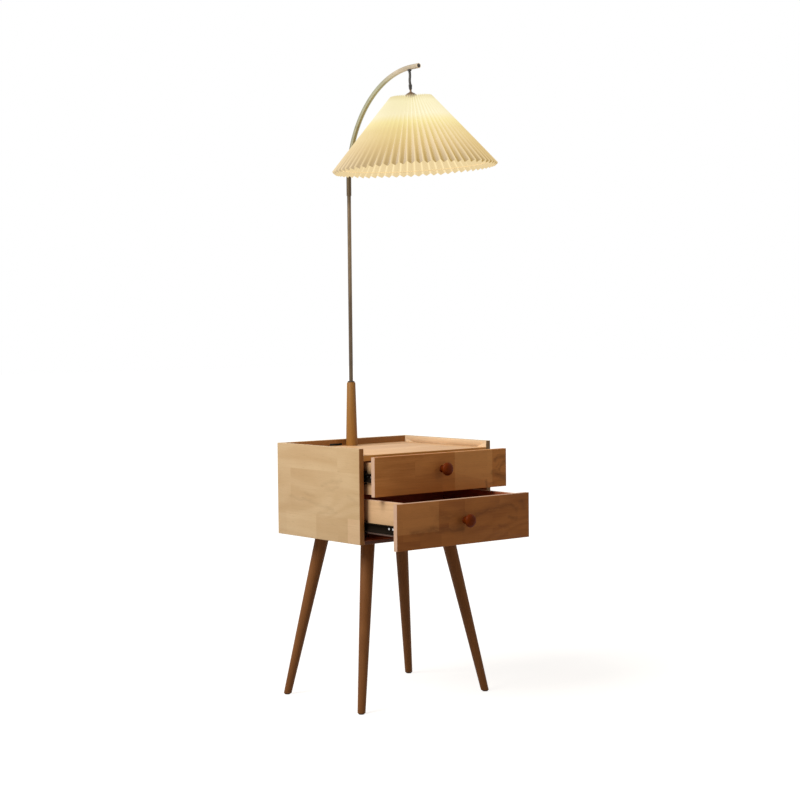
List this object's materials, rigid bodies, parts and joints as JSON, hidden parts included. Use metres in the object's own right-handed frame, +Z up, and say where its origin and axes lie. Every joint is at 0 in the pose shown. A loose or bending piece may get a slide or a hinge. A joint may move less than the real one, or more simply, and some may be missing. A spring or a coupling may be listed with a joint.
{
  "type": "floor lamp with side table",
  "caption": "Small wooden side table on splayed legs with two drawers and a tall curved lamp pole that carries a hanging pleated shade.",
  "frame": {"origin": "On the floor, under the centre of the whole object in its rest pose.", "axes": "+Z up, the drawers open towards -Y, +X is the right side for someone who faces the drawers."},
  "size_m": [0.4256, 0.511, 1.5723],
  "materials": {
    "pale_wood": "satin oiled stave board",
    "front_wood": "satin oiled board",
    "leg_wood": "satin stain",
    "knob_wood": "satin stain",
    "post_wood": "satin varnish",
    "gold_metal": "satin metallic lacquer",
    "black_steel": "satin",
    "zinc_steel": "zinc plated",
    "brass": "satin",
    "black_plastic": "matte",
    "brown_plastic": "matte",
    "cable_sheath": "matte",
    "pad_rubber": "matte",
    "shade_cloth": "pleated cloth",
    "bulb_metal": "satin",
    "bulb_glass": "frosted"
  },
  "bodies": {
    "base": {"left_side_panel": "pale_wood", "right_side_panel": "pale_wood", "back_panel": "pale_wood", "top_board": "pale_wood", "bottom_board": "pale_wood", "panel_dowels": "pale_wood", "cable_slot_lining": "black_plastic", "leg_front_left": "leg_wood", "leg_front_right": "leg_wood", "leg_rear_left": "leg_wood", "leg_rear_right": "leg_wood", "leg_inserts": "brass", "leg_bolts": "zinc_steel", "foot_pads": "pad_rubber", "cabinet_rails": "black_steel", "cabinet_rail_screws": "zinc_steel", "lamp_post": "post_wood", "post_collar": "black_steel", "post_fasteners": "zinc_steel", "lamp_pole": "gold_metal", "lower_cable": "cable_sheath", "cord_inlet": "black_plastic"},
    "arm": {"arm_tube": "gold_metal", "arm_bearing_plug": "brass", "arm_end_cap": "black_plastic", "arm_cord_bush": "black_plastic", "arm_cable": "cable_sheath"},
    "cord": {"pendant_cord": "cable_sheath"},
    "pendant": {"cord_grip": "black_plastic", "lampholder_cap": "brown_plastic", "lampholder_body": "black_plastic", "shade_ring_nut": "black_plastic", "shade_spider": "brass", "shade": "shade_cloth", "shade_rim_wire": "brass", "bulb_screw_cap": "bulb_metal", "bulb_glass": "bulb_glass"},
    "upper_drawer": {"upper_drawer_front": "front_wood", "upper_drawer_left_side": "pale_wood", "upper_drawer_right_side": "pale_wood", "upper_drawer_back": "pale_wood", "upper_drawer_bottom": "pale_wood", "upper_knob": "knob_wood", "upper_knob_screw": "zinc_steel", "upper_drawer_rails": "black_steel", "upper_drawer_rail_screws": "zinc_steel"},
    "upper_cages": {"upper_ball_cages": "zinc_steel"},
    "lower_drawer": {"lower_drawer_front": "front_wood", "lower_drawer_left_side": "pale_wood", "lower_drawer_right_side": "pale_wood", "lower_drawer_back": "pale_wood", "lower_drawer_bottom": "pale_wood", "lower_knob": "knob_wood", "lower_knob_screw": "zinc_steel", "lower_drawer_rails": "black_steel", "lower_drawer_rail_screws": "zinc_steel"},
    "lower_cages": {"lower_ball_cages": "zinc_steel"}
  },
  "joints": [
    {"name": "arm_turn", "type": "hinge", "parent": "base", "child": "arm", "pos_m": [0, 0.2155, 1.268], "axis": [0, 0, 1], "range_deg": [-90, 90]},
    {"name": "cord_sway", "type": "hinge", "parent": "arm", "child": "cord", "pos_m": [0, -0.0345, 1.557], "axis": [0, 1, 0], "range_deg": [-15, 15]},
    {"name": "shade_sway", "type": "hinge", "parent": "cord", "child": "pendant", "pos_m": [0.00144, -0.03531, 1.52404], "axis": [1, 0, 0], "range_deg": [-10, 10]},
    {"name": "upper_drawer_slide", "type": "slide", "parent": "base", "child": "upper_drawer", "axis": [0, -1, 0], "range_m": [-0.046, 0.144]},
    {"name": "upper_cage_slide", "type": "slide", "parent": "base", "child": "upper_cages", "axis": [0, -1, 0], "range_m": [-0.023, 0.072]},
    {"name": "lower_drawer_slide", "type": "slide", "parent": "base", "child": "lower_drawer", "axis": [0, -1, 0], "range_m": [-0.128, 0.062]},
    {"name": "lower_cage_slide", "type": "slide", "parent": "base", "child": "lower_cages", "axis": [0, -1, 0], "range_m": [-0.064, 0.031]}
  ],
  "couplings": [
    {"joint": "upper_cage_slide", "follows": "upper_drawer_slide", "ratio": 0.5},
    {"joint": "lower_cage_slide", "follows": "lower_drawer_slide", "ratio": 0.5}
  ]
}
